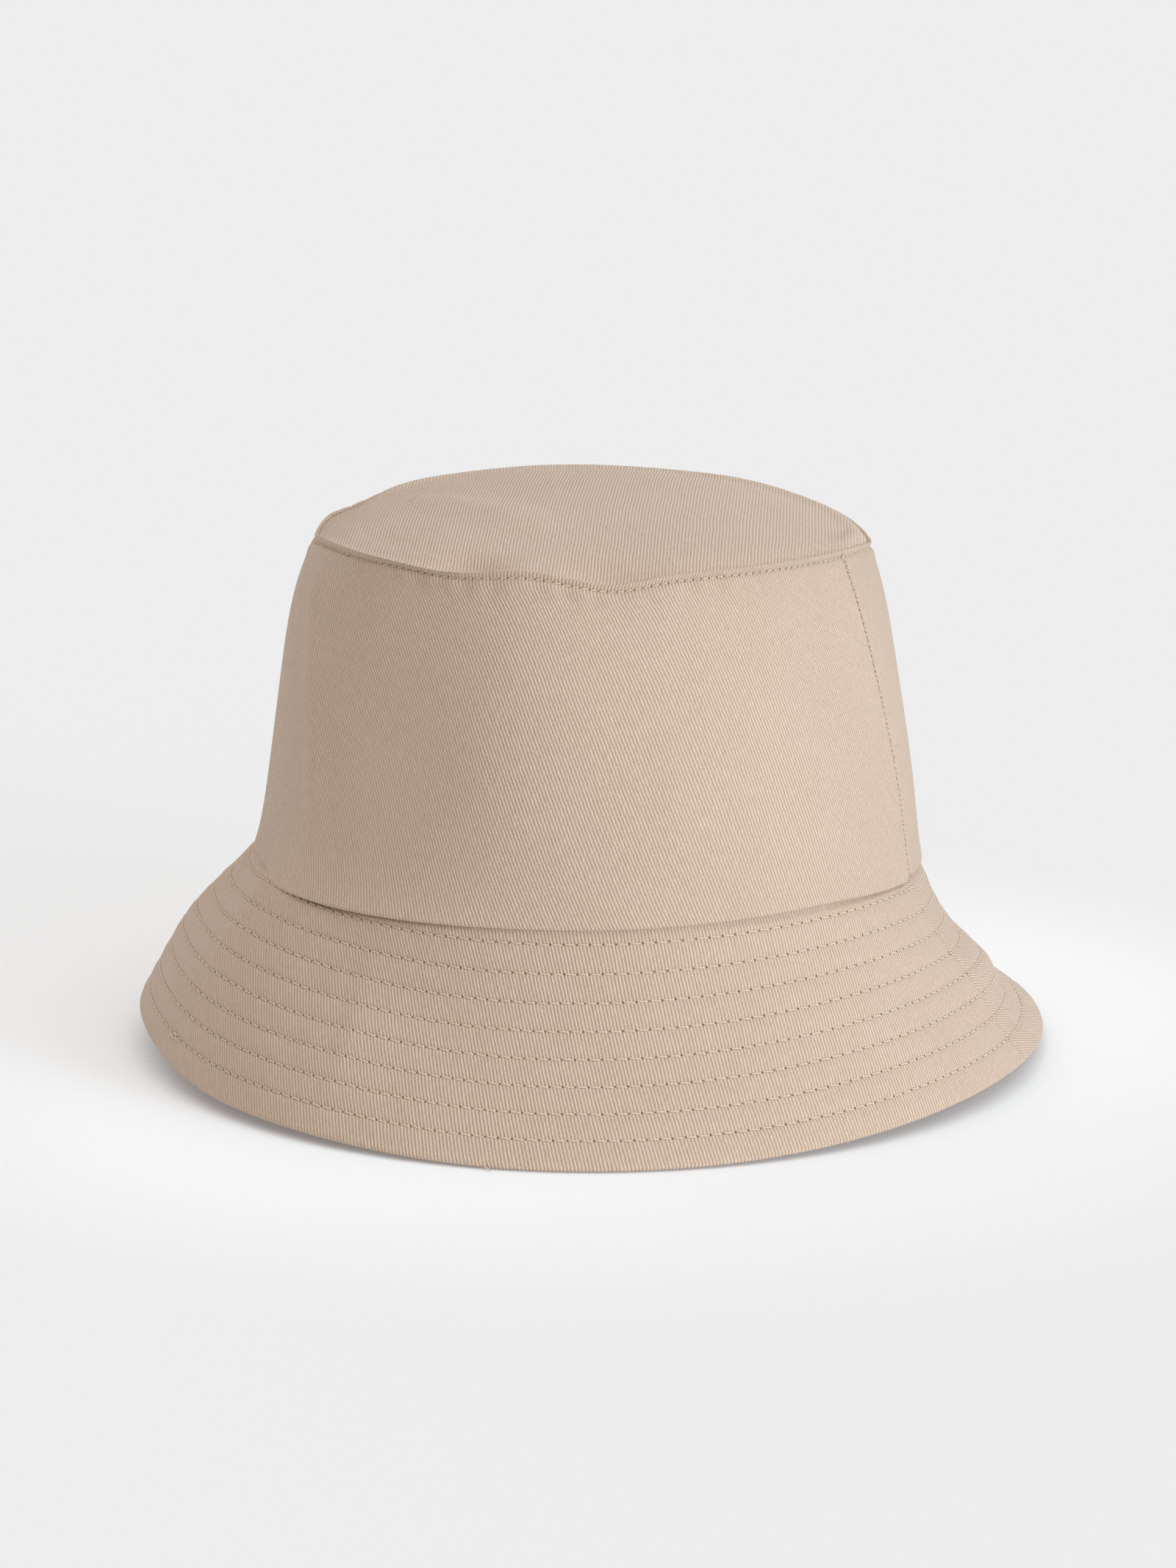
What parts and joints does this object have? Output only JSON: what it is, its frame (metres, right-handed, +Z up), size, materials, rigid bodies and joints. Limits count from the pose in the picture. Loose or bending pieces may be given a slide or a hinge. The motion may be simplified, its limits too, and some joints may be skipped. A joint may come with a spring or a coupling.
{
  "type": "bucket hat",
  "caption": "Soft cotton twill bucket hat with a flat, slightly domed tip, a two-panel crown and a downward-sloping brim quilted with parallel stitch rows.",
  "frame": {"origin": "centre of the brim's edge, on the surface that the hat stands on", "axes": "+Z up through the tip, -Y towards the front, +X and -X through the side seams"},
  "size_m": [0.2564, 0.2564, 0.155],
  "materials": {
    "twill": "matte cotton twill, stone beige",
    "thread": "polyester-cotton sewing thread, slightly paler than the cloth",
    "lining": "plain-weave cotton lining",
    "sweatband": "cotton twill tape with a herringbone weave",
    "stiffener": "fusible interlining",
    "label": "blank woven satin label"
  },
  "bodies": {
    "hat": {"crown_tip": "twill", "crown_front_panel": "twill", "crown_back_panel": "twill", "brim_top_front": "twill", "brim_top_back": "twill", "brim_stiffener_front": "stiffener", "brim_stiffener_back": "stiffener", "brim_under_front": "twill", "brim_under_back": "twill", "tip_lining": "lining", "front_lining": "lining", "back_lining": "lining", "sweatband": "sweatband", "size_label": "label", "care_label_tack": "thread", "tip_topstitch": "thread", "sweatband_stitch": "thread", "side_seam_stitch_left": "thread", "side_seam_stitch_right": "thread", "brim_stitch_1": "thread", "brim_stitch_2": "thread", "brim_stitch_3": "thread", "brim_stitch_4": "thread", "brim_stitch_5": "thread", "brim_stitch_6": "thread", "brim_stitch_7": "thread", "brim_stitch_8": "thread"},
    "care_label": {"care_label": "label"}
  },
  "joints": [
    {"name": "care_label_flip", "type": "hinge", "parent": "hat", "child": "care_label", "pos_m": [-0.08466, 0, 0.08655], "axis": [0, -1, 0], "range_deg": [-4, 100]}
  ]
}
